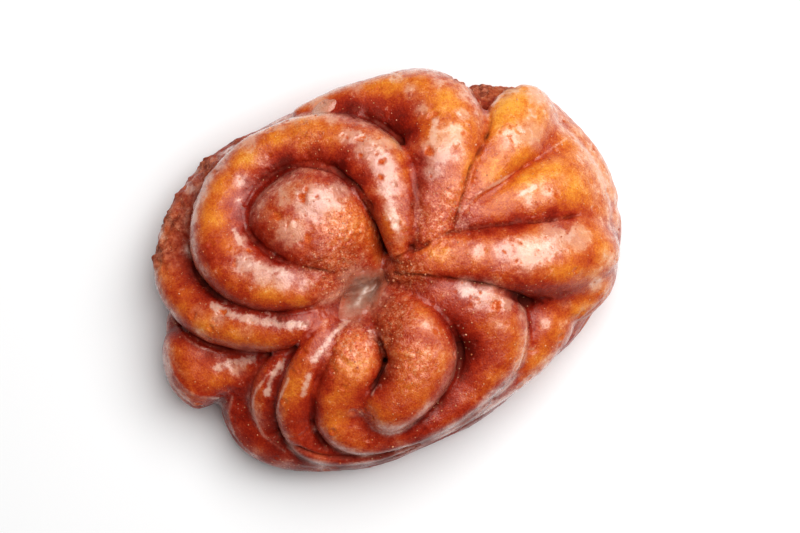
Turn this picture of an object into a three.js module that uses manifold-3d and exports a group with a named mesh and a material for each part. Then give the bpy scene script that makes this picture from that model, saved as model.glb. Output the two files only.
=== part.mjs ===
// A glazed cruller doughnut: ropes of fried dough swirl out of one pinch and overlap on a soft oval base.
// Millimetres, +Z up, +X along the long axis. The origin is the middle of the outline, on the flat foot.
import * as THREE from "three";
import { mergeVertices } from "three/addons/utils/BufferGeometryUtils.js";
import Module from "manifold-3d";

// Driving sizes.
const crown = { halfLength: 58, halfWidth: 43.5, height: 30, squareness: 4 };
const base = { halfLength: 46, halfWidth: 35, middle: 10, rise: 10, sink: 14, boxiness: 3 };
const tableTop = { across: 300, thick: 100 };
const pinch = { x: -6, y: -3, depth: 9, reach: 9 };

// Facets. A rope has segments around it that gather on its crest, and steps along it that gather at its ends.
// bendSpan is the share of its length over which a bend is read, and tightest is how far its side may reach
// towards the middle of the bend, which is at 1.
const facets = {
  around: 12,
  onCrest: 0.35,
  step: 3.3,
  fewest: 9,
  atEnds: 0.45,
  bendSpan: 0.04,
  tightest: 0.8,
  baseAround: 36,
  baseUp: 12,
  weld: 1e-4,
};

// The ropes. The path runs along the middle of a rope from tip to tip as [x, y, half width]. lift is how far
// the crest stands above the crown, or top is its height all along. tall is a rope's height over its width.
const folds = {
  upperKnob: {
    lift: 6,
    path: [
      [-3.4, -1.6, 4], [-4.6, 5, 7.8], [-7.4, 10.5, 10.6], [-10.5, 15.7, 12.2], [-13.6, 20.7, 11.6],
      [-19.8, 28.6, 9],
    ],
  },
  upperRing: {
    lift: 4.5,
    path: [
      [3.4, -0.4, 1.8], [4.6, 4, 3], [6.6, 9, 4.8],
      ...arc(
        { centre: [-11.3, 17.8], radii: [20.3, 16], from: -4, to: 256 },
        [6.6, 6.8, 5.6, 5.3, 6.8, 7.8, 7.2, 5],
      ),
      [-8, -0.6, 2.6],
    ],
  },
  outerRing: {
    lift: 1,
    path: [
      ...arc(
        { centre: [-12, 16.6], radii: [31.8, 20.8], from: 55, to: 256 },
        [2.6, 3.2, 4, 5, 5.8, 6, 6.2, 4.6],
      ),
      [-12, -2.4, 1.6],
    ],
  },
  leftLobe: {
    top: 20,
    path: [[-26, -8, 1.5], [-34, -7.6, 4], [-40, -5.8, 6.8], [-46, -3, 9.6], [-51, -1.4, 10.4], [-56, 0, 10]],
  },
  narrowFold: {
    lift: 0.5,
    path: [
      [-9.5, -3.4, 1.6], [-15.4, -6.2, 3], [-21, -10, 3.6], [-26.8, -14.2, 4.2], [-31, -19, 4.4],
      [-32.8, -25, 4.4], [-30.6, -30.4, 4], [-24.6, -34.4, 3.4], [-15, -37, 2.8], [-4, -37.8, 2.4],
      [9, -36.4, 1.8],
    ],
  },
  sideFold: {
    lift: -3,
    path: [
      [-20, -7, 1.4], [-30, -9.8, 3.2], [-35.4, -13.6, 4], [-38.2, -19, 4.2], [-38.6, -25, 4],
      [-34, -31.5, 3],
    ],
  },
  lowerInner: {
    lift: 3,
    path: [
      [-7, -3.6, 3], [-11.5, -10.5, 5.6], [-15.8, -16.5, 6.6], [-21, -22, 6.8], [-23.2, -27.4, 6.3],
      [-20.2, -31.7, 5.6], [-13, -34, 5], [-3, -34.6, 4.6], [8, -33, 4],
    ],
  },
  lowerKnob: {
    lift: 6,
    path: [
      [-4.6, -3.6, 2.6], [-2, -10.5, 6.2], [-0.3, -17, 8.1], [-1.2, -22.3, 8.2], [-5.5, -26.5, 7.3],
      [-11, -28.6, 6.2], [-18.4, -29, 4.8],
    ],
  },
  lowerRing: {
    lift: 2,
    path: [
      [-2.6, -3, 2], [4, -7.3, 4.4], [9.3, -11.6, 6.4], [13.8, -16.4, 8.2], [15.8, -21.8, 8.8],
      [13.8, -27, 8], [8.4, -31, 6], [-1, -34.2, 5], [-12, -35.6, 4],
    ],
  },
  broadFold: {
    lift: 3,
    path: [
      [-2, -1.6, 1.8], [8, -4.2, 4.6], [16, -7, 7], [25, -10.4, 9.2], [34, -14, 10.6], [42, -16.4, 10],
      [51, -17.4, 8.5],
    ],
  },
  rightFold: {
    lift: 1.5,
    path: [[13, 0.8, 1.4], [22, 1.6, 4.2], [32, 1.2, 6.4], [40, 0.3, 8], [47, -0.6, 9.2], [54.5, -1.6, 8.6]],
  },
  farRightFold: {
    lift: 3,
    path: [
      [14, 2, 1.8], [23, 6.2, 4.4], [30.4, 10.6, 6.2], [37, 14, 7.8], [43, 16.2, 8.8], [50.6, 18.2, 7.6],
    ],
  },
  rightBody: {
    lift: -5,
    tall: 0.7,
    path: [[14, 1, 5], [28, 0, 13], [40, -0.5, 18], [52.5, -1, 15]],
  },
  topFold: {
    lift: 4,
    path: [
      [8.6, -0.6, 4.2], [12.4, 4.2, 6.2], [17, 9.2, 7.8], [21.6, 15.2, 9.4], [24.2, 22, 10.6],
      [23.2, 28.4, 10], [18, 33.4, 7.2], [10, 36.8, 4.6], [-3, 38.4, 3],
    ],
  },
  rim: {
    top: 17,
    tall: 1.5,
    step: 5.6,
    path: [
      [45.6, 15, 6],
      ...arc({ centre: [3, -4], radii: [46.8, 31], from: 22, to: -90 }, Array(9).fill(6)),
      ...arc({ centre: [-8, -14], radii: [33.8, 20.9], from: -105, to: -185 }, Array(6).fill(6)),
      ...arc({ centre: [-11, 13], radii: [32, 21.4], from: 190, to: 90 }, Array(7).fill(6)),
      [0, 34.4, 6], [10, 34, 6], [19, 32.6, 6], [28, 27.4, 5.6], [35.4, 22.6, 5], [41.5, 19, 5.6],
      [46, 14, 6], [48.2, 8, 6],
    ],
  },
};

// Points [x, y, half width] evenly spaced along part of an ellipse, one for each half width.
function arc({ centre, radii, from, to }, halfWidths) {
  return halfWidths.map((half, i) => {
    const angle = THREE.MathUtils.degToRad(from + ((to - from) * i) / (halfWidths.length - 1));
    return [centre[0] + radii[0] * Math.cos(angle), centre[1] + radii[1] * Math.sin(angle), half];
  });
}

// Height of the crests over a place: a squarish dome that dips where the ropes are pinched together.
function crestHeight(x, y) {
  const share = Math.min(Math.hypot(x / crown.halfLength, y / crown.halfWidth), 1);
  const dome = crown.height * Math.sqrt(1 - share ** crown.squareness);
  const away = Math.hypot(x - pinch.x, y - pinch.y) / pinch.reach;
  return dome - pinch.depth * Math.exp(-away * away);
}

// A sphere's points, each moved by place(up, around): up from 0 to 1 between the poles, around in radians.
function warpedSphere(around, rows, place) {
  const sphere = new THREE.SphereGeometry(1, around, rows);
  const at = sphere.getAttribute("position");
  for (let i = 0; i < at.count; i++) {
    const direction = new THREE.Vector3().fromBufferAttribute(at, i);
    const up = Math.acos(THREE.MathUtils.clamp(direction.y, -1, 1)) / Math.PI;
    const moved = place(up, Math.atan2(direction.z, direction.x));
    at.setXYZ(i, moved.x, moved.y, moved.z);
  }
  return sphere;
}

// How fast a line turns to its left at a place along it, in radians for each millimetre.
function turningRate(line, length, along) {
  const before = line.getTangentAt(Math.max(along - facets.bendSpan, 0));
  const after = line.getTangentAt(Math.min(along + facets.bendSpan, 1));
  const across = before.x * after.y - before.y * after.x;
  const onward = before.x * after.x + before.y * after.y;
  const turn = Math.atan2(across, onward);
  return turn / (2 * facets.bendSpan * length);
}

// A rope with round ends: its poles are the two ends of the path, and it lies just under its crest line. On
// the inside of a bend its side stops short of the bend's own middle, so that it doesn't fold through itself.
function foldGeometry({ lift, top, tall = 1, step = facets.step, path }) {
  const line = new THREE.CatmullRomCurve3(path.map((p) => new THREE.Vector3(...p)), false, "centripetal");
  const length = line.getLength();
  const rows = Math.max(facets.fewest, Math.round(length / step));
  return warpedSphere(facets.around, rows, (up, around) => {
    const along = THREE.MathUtils.lerp(up, (1 - Math.cos(up * Math.PI)) / 2, facets.atEnds);
    const turn = around + facets.onCrest * Math.cos(around);
    const { x, y, z: halfWidth } = line.getPointAt(along);
    const heading = line.getTangentAt(along).setZ(0).normalize();
    const fromEnd = Math.min(along, 1 - along) * length;
    const roundness = Math.sqrt(1 - (1 - Math.min(fromEnd / halfWidth, 1)) ** 2);
    const half = halfWidth * roundness;
    const bend = Math.max(half * Math.cos(turn) * turningRate(line, length, along), 0);
    const sideways = (half * Math.cos(turn)) / Math.max(bend / facets.tightest, 1);
    const crest = top ?? crestHeight(x, y) + lift;
    return new THREE.Vector3(
      x - heading.y * sideways,
      y + heading.x * sideways,
      crest - halfWidth * tall + half * tall * Math.sin(turn),
    );
  });
}

// The oval base: full at the side, flatter above and below.
function baseGeometry() {
  return warpedSphere(facets.baseAround, facets.baseUp, (up, around) => {
    const level = Math.cos(up * Math.PI);
    const reach = (1 - Math.abs(level) ** base.boxiness) ** (1 / base.boxiness);
    return new THREE.Vector3(
      base.halfLength * reach * Math.cos(around),
      -base.halfWidth * reach * Math.sin(around),
      base.middle + level * (level > 0 ? base.rise : base.sink),
    );
  });
}

const wasm = await Module();
wasm.setup();

// A closed geometry as a solid for joining and cutting.
function solid(geometry) {
  geometry.deleteAttribute("normal");
  geometry.deleteAttribute("uv");
  const merged = mergeVertices(geometry, facets.weld);
  return new wasm.Manifold(
    new wasm.Mesh({
      numProp: 3,
      vertProperties: merged.getAttribute("position").array,
      triVerts: new Uint32Array(merged.index.array),
    }),
  );
}

// A solid back as a geometry.
function geometryOf(made) {
  const mesh = made.getMesh();
  return new THREE.BufferGeometry()
    .setAttribute("position", new THREE.BufferAttribute(mesh.vertProperties, 3))
    .setIndex(new THREE.BufferAttribute(mesh.triVerts, 1));
}

// Everything under the foot, to cut the base flat.
const table = new THREE.BoxGeometry(tableTop.across, tableTop.across, tableTop.thick);
table.translate(0, 0, -tableTop.thick / 2);

let dough = solid(baseGeometry());
for (const fold of Object.values(folds)) dough = dough.add(solid(foldGeometry(fold)));
dough = dough.subtract(solid(table));
// Air shut in between the ropes comes out as bodies of negative volume: only the outer body is kept.
dough = dough.decompose().reduce((largest, body) => (body.volume() > largest.volume() ? body : largest));

const crust = new THREE.MeshStandardMaterial({ color: 0xb5501e, roughness: 0.3, metalness: 0 });
const doughnut = new THREE.Mesh(geometryOf(dough), crust);
doughnut.name = "doughnut";
const middle = new THREE.Box3().setFromObject(doughnut).getCenter(new THREE.Vector3());
doughnut.position.set(-middle.x, -middle.y, 0);

const cruller = new THREE.Group();
cruller.add(doughnut);
export default cruller;
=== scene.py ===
import math
import time

import bmesh
import bpy
import numpy as np
from mathutils import Matrix, Vector, kdtree, noise
from mathutils.bvhtree import BVHTree


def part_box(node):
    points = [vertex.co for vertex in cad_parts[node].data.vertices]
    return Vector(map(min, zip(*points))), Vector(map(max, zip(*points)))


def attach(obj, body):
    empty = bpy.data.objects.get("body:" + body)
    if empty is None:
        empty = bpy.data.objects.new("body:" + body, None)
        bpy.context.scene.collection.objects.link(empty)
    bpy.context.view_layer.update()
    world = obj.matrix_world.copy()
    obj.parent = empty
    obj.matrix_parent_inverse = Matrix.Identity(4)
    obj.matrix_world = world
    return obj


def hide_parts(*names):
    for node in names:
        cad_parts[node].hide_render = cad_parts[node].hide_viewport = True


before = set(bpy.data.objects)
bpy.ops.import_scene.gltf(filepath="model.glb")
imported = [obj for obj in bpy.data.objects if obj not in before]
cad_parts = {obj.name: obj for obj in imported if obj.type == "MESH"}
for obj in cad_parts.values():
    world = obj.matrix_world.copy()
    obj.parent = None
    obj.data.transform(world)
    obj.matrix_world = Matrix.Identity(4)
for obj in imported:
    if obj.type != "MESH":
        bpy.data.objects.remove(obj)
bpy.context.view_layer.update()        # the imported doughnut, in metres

cadLow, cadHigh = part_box("doughnut")
scene = bpy.context.scene
started = time.time()
mm = 0.001               # shapes are worked out in millimetres and scaled at the end


def say(stage):
    print(f"{time.time() - started:6.1f} s  {stage}")


def addObject(name, data):
    made = bpy.data.objects.new(name, data)
    scene.collection.objects.link(made)
    return made


def meshFrom(bm, name):
    mesh = bpy.data.meshes.new(name)
    bm.to_mesh(mesh)
    bm.free()
    return mesh


def applied(rough):          # the object's mesh once its modifiers have run
    made = bpy.data.meshes.new_from_object(rough.evaluated_get(bpy.context.evaluated_depsgraph_get()))
    bpy.data.objects.remove(rough)
    return made


shot = {
    "elevation": 88.0,       # degrees above the table
    "turn": 25.0,            # the long axis climbs this much to the right
    "distance": 0.62,
    "lens": 122.7,           # mm on a 36 mm sensor
    "aim": (0.0031, -0.0012, 0.012),
}


def viewAxes():              # rightwards and upwards as the camera sees them, both along the table
    turn = math.radians(shot["turn"])
    return Vector((math.cos(turn), -math.sin(turn), 0)), Vector((math.sin(turn), math.cos(turn), 0))


def makeCamera():
    data = bpy.data.cameras.new("studioCamera")
    data.lens = shot["lens"]
    camera = addObject("studioCamera", data)
    climb = math.radians(shot["elevation"])
    right, upwards = viewAxes()
    back = -upwards * math.cos(climb) + Vector((0, 0, 1)) * math.sin(climb)
    basis = Matrix((right, back.cross(right), back)).transposed().to_4x4()
    camera.matrix_world = Matrix.Translation(Vector(shot["aim"]) + back * shot["distance"]) @ basis
    scene.camera = camera


makeCamera()

light = {
    "softbox": {"size": 0.8, "power": 9.6, "height": 0.75, "aside": 0.22, "ahead": 0.19},
    "world": 0.055,
}


def makeLights():
    right, upwards = viewAxes()
    box = light["softbox"]
    data = bpy.data.lights.new("softbox", "AREA")
    data.shape = "SQUARE"
    data.size = box["size"]
    data.energy = box["power"]
    lamp = addObject("softbox", data)
    lamp.location = right * box["aside"] + upwards * box["ahead"] + Vector((0, 0, box["height"]))
    lamp.rotation_euler = (-lamp.location).to_track_quat("-Z", "Y").to_euler()
    world = bpy.data.worlds.new("studio")
    world.use_nodes = True
    world.node_tree.nodes["Background"].inputs["Color"].default_value = (1, 1, 1, 1)
    world.node_tree.nodes["Background"].inputs["Strength"].default_value = light["world"]
    scene.world = world
    scene.view_settings.view_transform = "Standard"


makeLights()

tableTop = {"halfSide": 0.9, "colour": (0.97, 0.97, 0.97, 1), "roughness": 0.6}


def makeTable():
    bm = bmesh.new()
    bmesh.ops.create_grid(bm, x_segments=1, y_segments=1, size=tableTop["halfSide"])
    mesh = meshFrom(bm, "table")
    table = addObject("table", mesh)
    material = bpy.data.materials.new("whiteTable")
    material.use_nodes = True
    shader = material.node_tree.nodes["Principled BSDF"]
    shader.inputs["Base Color"].default_value = tableTop["colour"]
    shader.inputs["Roughness"].default_value = tableTop["roughness"]
    mesh.materials.append(material)


makeTable()
say("camera, lights and table")

# the crown is a dome, pinched where the folds meet; the core and the base fill it under the folds
crown = {"halfLength": 58, "halfWidth": 43.5, "height": 30, "squareness": 4}
pinch = {"x": -6, "y": -3, "depth": 9.5, "reach": 9}
core = {"share": 0.84, "below": 6, "fullness": 0.6, "foot": 4, "around": 72, "levels": 36}
base = {"halfLength": 46, "halfWidth": 35, "middle": 10, "rise": 10, "sink": 14, "boxiness": 3,
        "around": 96, "levels": 48}


def arc(centre, radii, fromDegrees, toDegrees, halfWidths):
    angles = np.radians(np.linspace(fromDegrees, toDegrees, len(halfWidths)))
    return [
        (centre[0] + radii[0] * math.cos(a), centre[1] + radii[1] * math.sin(a), half)
        for a, half in zip(angles, halfWidths)
    ]


# the doughnut's outline on the table, from its right end round by the near side
outline = [
    (56.4, -7), (55, -12), (52.4, -17), (47, -23), (41.2, -27.8), (34.4, -31.8), (25, -35.2), (15, -38.4),
    (5, -40.4), (-5, -41), (-15, -40.6), (-25, -38.8), (-35, -34.8), (-43.4, -29), (-47.8, -23), (-48.6, -17),
    (-47.5, -10), (-47.4, 0), (-48.6, 10), (-48.4, 16), (-44.6, 27), (-39.6, 32), (-33, 37), (-25, 40.6),
    (-15, 41.6), (-5, 41.6), (5, 40.6), (14, 39.5), (22, 36), (31, 31.6), (43, 26.4), (49.2, 22), (53.2, 15),
    (55.8, 7), (56.8, 0), (56.4, -4)]


def skirt(inset):
    p = np.array(outline, float)
    along = np.roll(p, -1, axis=0) - np.roll(p, 1, axis=0)
    along /= np.linalg.norm(along, axis=1)[:, None]
    inner = p + inset * np.stack([along[:, 1], -along[:, 0]], 1)
    return [(x, y, inset + 0.5) for x, y in [*inner, *inner[:2]]]


# each rope runs along its path of (x, y, half width), in mm; lift is its crest over the crown
ropes = {
    "upperKnob": {"lift": (4.5, 6, 6, 5), "path": [
        (-2.6, -1.4, 3.6), (-5.4, 4.6, 8.6), (-8.2, 10, 12.4), (-10.6, 15.4, 13.8), (-12.4, 20.8, 13.7),
        (-15, 31, 12.6)]},
    "upperRing": {"lift": 4.5, "path": [
        (3.4, -0.4, 1.8), (5, 4, 2.9), (7.2, 9, 4.7),
        *arc((-11.1, 17.9), (19.4, 15.3), -4, 254, (7.6, 7.9, 7.3, 7.1, 8, 8.3, 7.4, 5)),
        (-8.8, 0.6, 2.8)]},
    "outerRing": {"lift": 1, "path": [
        *arc((-12, 16.6), (31.8, 20.8), 55, 256, (2.6, 3.2, 4, 5, 5.8, 6, 6.2, 4.6)),
        (-12, -2.4, 1.6)]},
    "leftLobe": {"top": 20, "path": [
        (-26, -8, 1.5), (-34, -7.4, 4), (-40, -5.4, 6.8), (-46, -2.6, 9.6), (-51, -1, 10.4),
        (-56.6, 0.2, 10)]},
    "narrowFold": {"lift": 1.5, "path": [
        (-9.5, -3.4, 2), (-15.4, -6.2, 3.4), (-21, -10, 3.9), (-26.8, -14.2, 4.2), (-31, -19, 4.4),
        (-32.8, -25, 4.4), (-30.6, -30.4, 4), (-24.6, -34.4, 3.4), (-15, -37, 2.8), (-4, -37.8, 2.4),
        (9, -36.4, 1.8)]},
    "sideFold": {"lift": -3, "path": [
        (-20, -7, 1.4), (-30, -9.8, 3.2), (-35.4, -13.6, 4), (-38.2, -19, 4.2), (-38.6, -25, 4),
        (-34, -31.5, 3)]},
    "lowerInner": {"lift": 3, "path": [
        (-7, -3.6, 3), (-11.5, -10.5, 5.6), (-15.8, -16.5, 6.6), (-21, -22, 6.8), (-23.2, -27.4, 6.3),
        (-20.2, -31.7, 5.6), (-13, -34, 5), (-3, -34.6, 4.6), (8, -33, 4)]},
    "lowerKnob": {"lift": 6, "path": [
        (-4.6, -3.6, 2.6), (-2, -10.5, 6.2), (-0.3, -17, 8.1), (-1.2, -22.3, 8.2), (-5.5, -26.5, 7.3),
        (-11, -28.6, 6.2), (-18.4, -29, 4.8)]},
    "lowerRing": {"lift": 2, "path": [
        (-2.6, -3, 2), (4.2, -7, 5), (9.8, -11, 7.4), (14.2, -15.8, 9.2), (15.6, -21.6, 9.5),
        (13.6, -27, 8.4), (8.4, -31, 6), (-1, -34.2, 5), (-12, -35.6, 4)]},
    "broadFold": {"lift": (3.5, 4, 5.5), "path": [
        (-1, -1.8, 1.8), (8, -3, 4.2), (16.4, -5.3, 6.5), (25.4, -9.7, 8.1), (34, -13, 9.6), (42, -14, 9.6),
        (51.8, -12, 8)]},
    "rightFold": {"lift": (1, 1.5, 5), "path": [
        (16, 0.8, 2), (25, 1.7, 4.3), (35, 0.4, 6.6), (44, -0.3, 8.2), (55, -1, 8)]},
    "farRightFold": {"lift": (1, 2.5, 6.5), "path": [
        (17.4, 2.4, 2), (25, 7.2, 3.6), (30.4, 10.4, 5.2), (36, 13.8, 6.8), (42.5, 16, 8.9),
        (51, 14.6, 8.6)]},
    "rightBody": {"lift": -4, "tall": 0.7, "path": [
        (14, 1, 5), (28, 0, 13), (38, -0.5, 17), (47, -0.5, 15)]},
    "rightEnd": {"lift": (-1.5, -0.5, -0.5, -1.5), "tall": 1.2, "path": [
        (41, 15, 7), (45, 7.5, 8), (46.5, 0, 8), (45.5, -7.5, 8), (41, -15, 7)]},
    "lowerRight": {"top": 22, "tall": 1, "path": [
        (25, -16, 3), (28.5, -20, 7), (28.5, -23.5, 9), (22, -27.5, 9), (14, -30, 8.5), (4, -32, 8),
        (-6, -33, 6)]},
    "lowerCorner": {"top": 21.5, "tall": 1.2, "path": [
        (30, -24, 6), (36.6, -22.6, 7.4), (42.6, -19, 7.4), (47, -13, 6)]},
    "wallRight": {"top": 16.5, "tall": 1.3, "path": [
        (27, 26, 5), (34, 24, 6.4), (42, 19.6, 6.4)]},
    "lobeBack": {"top": 14.5, "tall": 1.1, "path": [
        (-36, 0, 4), (-43, 3.6, 6.6), (-48, 6, 6.6), (-52.6, 6.6, 5)]},
    "topFold": {"lift": (2.5, 3.5, 4.5, 4.5, 4, 2.5), "path": [
        (10.4, -2.6, 6), (13.4, 3.4, 6.6), (17.2, 9.2, 8), (22, 15.4, 10), (24.2, 22, 11.4),
        (22.8, 28, 10.8), (17.8, 32.6, 8.6), (10.6, 36, 5.8), (3, 38, 4), (-5, 39, 2.8)]},
    "ringSlope": {"lift": 0.5, "path": arc((-11.4, 17.6), (13.8, 11), 60, 215, (2, 3.4, 4.2, 4.2, 3.4))},
    "topSlope": {"lift": (-2, -3, -3.2, -3.4, -4), "path": [
        (12, 6, 3), (15.4, 14, 4), (17.2, 21, 5), (15.4, 27.4, 5.2), (10, 32, 5), (3, 35.8, 3.6)]},
    "tips": {"lift": 0.6, "path": [
        (-2, -1.4, 2), (2, -0.4, 2.8), (6.8, 0.5, 3.2), (12, 0.4, 2.4), (18, 0.3, 2.8), (23, 1.6, 2)]},
    "rim": {"top": 17, "tall": 1.5, "path": skirt(6)},
}

dough = {
    "around": 36,            # segments round a rope
    "step": 0.9,             # and along it
    "fewestRows": 16,
    "evenRows": 0.7,         # the rest of the rows close up towards the ends
    "endRows": 0.3,
    "turnWindow": 25,        # path points over which a rope's turning is evened out
    "voxel": 0.48,
    "faces": 196000,
    "tightest": 0.8,
    "bluntness": 0.7,        # how much of a half width an end takes to round off
    "flatness": 0.78,        # under 1 a rope's crest is flatter and its flanks steeper
}


def crestHeight(x, y):
    share = np.minimum(np.hypot(x / crown["halfLength"], y / crown["halfWidth"]), 1)
    dome = crown["height"] * np.sqrt(1 - share ** crown["squareness"])
    away = np.hypot(x - pinch["x"], y - pinch["y"]) / pinch["reach"]
    return dome - pinch["depth"] * np.exp(-away * away)


def smoothPath(points, perSpan=40):      # a centripetal curve through all the points
    p = np.array(points, float)
    p = np.vstack([2 * p[0] - p[1], p, 2 * p[-1] - p[-2]])
    line = []
    for a, b, c, d in zip(p, p[1:], p[2:], p[3:]):
        ta = 0
        tb = ta + math.sqrt(np.linalg.norm(b - a))
        tc = tb + math.sqrt(np.linalg.norm(c - b))
        td = tc + math.sqrt(np.linalg.norm(d - c))
        t = np.linspace(tb, tc, perSpan, endpoint=False)[:, None]
        ab = (tb - t) / (tb - ta) * a + (t - ta) / (tb - ta) * b
        bc = (tc - t) / (tc - tb) * b + (t - tb) / (tc - tb) * c
        cd = (td - t) / (td - tc) * c + (t - tc) / (td - tc) * d
        abc = (tc - t) / (tc - ta) * ab + (t - ta) / (tc - ta) * bc
        bcd = (td - t) / (td - tb) * bc + (t - tb) / (td - tb) * cd
        line.append((tc - t) / (tc - tb) * abc + (t - tb) / (tc - tb) * bcd)
    line.append(p[-2:-1])
    return np.vstack(line)


def boxy(wave):
    return np.sign(wave) * np.abs(wave) ** dough["flatness"]


def addRope(body, lift=0, path=(), top=None, tall=1):
    bm = bmesh.new()
    line = smoothPath(path)
    gaps = np.linalg.norm(np.diff(line, axis=0), axis=1)
    far = np.concatenate([[0], np.cumsum(gaps)])
    length = far[-1]
    heading = np.gradient(line[:, :2], far, axis=0)
    heading /= np.linalg.norm(heading, axis=1)[:, None]
    bearing = np.unwrap(np.arctan2(heading[:, 1], heading[:, 0]))
    window = dough["turnWindow"]
    soft = np.pad(np.gradient(bearing, far), window // 2, "edge")
    soft = np.convolve(soft, np.ones(window) / window, "valid")
    rows = max(dough["fewestRows"], round(length / dough["step"]))
    made = bmesh.ops.create_uvsphere(bm, u_segments=dough["around"], v_segments=rows, radius=1)["verts"]
    co = np.array([v.co[:] for v in made])
    up = np.arccos(np.clip(-co[:, 2], -1, 1)) / math.pi
    around = np.arctan2(co[:, 1], co[:, 0])
    place = (dough["evenRows"] * up + dough["endRows"] * (1 - np.cos(up * math.pi)) / 2) * length
    x, y, halfWidth = (np.interp(place, far, line[:, i]) for i in range(3))
    hx, hy = (np.interp(place, far, heading[:, i]) for i in range(2))
    turning = np.interp(place, far, soft)
    fromEnd = np.minimum(place, length - place)
    half = halfWidth * np.sqrt(1 - (1 - np.minimum(fromEnd / (dough["bluntness"] * halfWidth), 1)) ** 2)
    sideways = half * boxy(np.cos(around))
    sideways /= np.maximum(np.maximum(sideways * turning, 0) / dough["tightest"], 1)
    lift = np.interp(place, np.linspace(0, length, np.size(lift)), np.ravel(lift))
    crest = crestHeight(x, y) + lift if top is None else top
    z = crest - halfWidth * tall + half * tall * boxy(np.sin(around))
    for v, px, py, pz in zip(made, x - hy * sideways, y + hx * sideways, np.maximum(z, 0)):
        v.co = (px, py, pz)
    rope = meshFrom(bm, "rope")
    body.from_mesh(rope)
    bpy.data.meshes.remove(rope)


def addBase(bm):
    made = bmesh.ops.create_uvsphere(bm, u_segments=base["around"], v_segments=base["levels"], radius=1)
    for v in made["verts"]:
        level = max(-1, min(1, v.co.z))
        reach = (1 - abs(level) ** base["boxiness"]) ** (1 / base["boxiness"])
        flat = math.hypot(v.co.x, v.co.y) or 1
        z = base["middle"] + level * (base["rise"] if level > 0 else base["sink"])
        x = base["halfLength"] * reach * v.co.x / flat
        y = base["halfWidth"] * reach * v.co.y / flat
        v.co = (x, y, max(z, 0))


def addCore(bm):
    made = bmesh.ops.create_uvsphere(bm, u_segments=core["around"], v_segments=core["levels"], radius=1)
    for v in made["verts"]:
        reach = math.sqrt(max(0, 1 - v.co.z ** 2)) ** core["fullness"]
        flat = math.hypot(v.co.x, v.co.y) or 1
        x = core["share"] * crown["halfLength"] * reach * v.co.x / flat
        y = core["share"] * crown["halfWidth"] * reach * v.co.y / flat
        v.co = (x, y, float(crestHeight(x, y)) - core["below"] if v.co.z > 0 else core["foot"])


def grow(bm, name, voxel):               # one skin over everything in bm
    rough = addObject(name + "Rough", meshFrom(bm, name))
    remesh = rough.modifiers.new("skin", "REMESH")
    remesh.mode = "VOXEL"
    remesh.voxel_size = voxel
    skin = applied(rough)
    skin.name = name
    return skin


def keepOuterSkin(mesh):
    bm = bmesh.new()
    bm.from_mesh(mesh)
    unseen, islands = set(bm.verts), []
    while unseen:
        stack, island = [unseen.pop()], []
        while stack:
            v = stack.pop()
            island.append(v)
            for e in v.link_edges:
                w = e.other_vert(v)
                if w in unseen:
                    unseen.discard(w)
                    stack.append(w)
        islands.append(island)
    islands.sort(key=len)
    for island in islands[:-1]:
        bmesh.ops.delete(bm, geom=island, context="VERTS")
    bm.to_mesh(mesh)
    bm.free()
    return len(islands)


def makeDough():
    bm = bmesh.new()
    addBase(bm)
    addCore(bm)
    for rope in ropes.values():
        addRope(bm, **rope)
    say("ropes laid out")
    skin = grow(bm, "dough", dough["voxel"])
    say(f"skin grown, {len(skin.polygons)} faces")
    islands = keepOuterSkin(skin)
    say(f"{islands} islands")
    return skin


skin = makeDough()


def read(items, field, width, kind=np.float32):
    values = np.empty(len(items) * width, kind)
    items.foreach_get(field, values)
    return values.reshape(-1, width)


def readPoints(mesh):
    return read(mesh.vertices, "co", 3).astype(float)


def writePoints(mesh, co):
    mesh.vertices.foreach_set("co", co.astype(np.float32).ravel())
    mesh.update()


def readNormals(mesh):
    return read(mesh.vertex_normals, "vector", 3).astype(float)


ends = read(skin.edges, "vertices", 2, np.int32)
degree = np.bincount(ends.ravel(), minlength=len(skin.vertices)).astype(float)


def neighbourMean(values):
    total = np.zeros_like(values)
    for i in range(values.shape[1]):
        total[:, i] = np.bincount(ends[:, 0], values[ends[:, 1], i], len(values))
        total[:, i] += np.bincount(ends[:, 1], values[ends[:, 0], i], len(values))
    return total / degree[:, None]


def relax(values, rounds, share=0.5):
    for _ in range(rounds):
        values = (1 - share) * values + share * neighbourMean(values)
    return values


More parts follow.
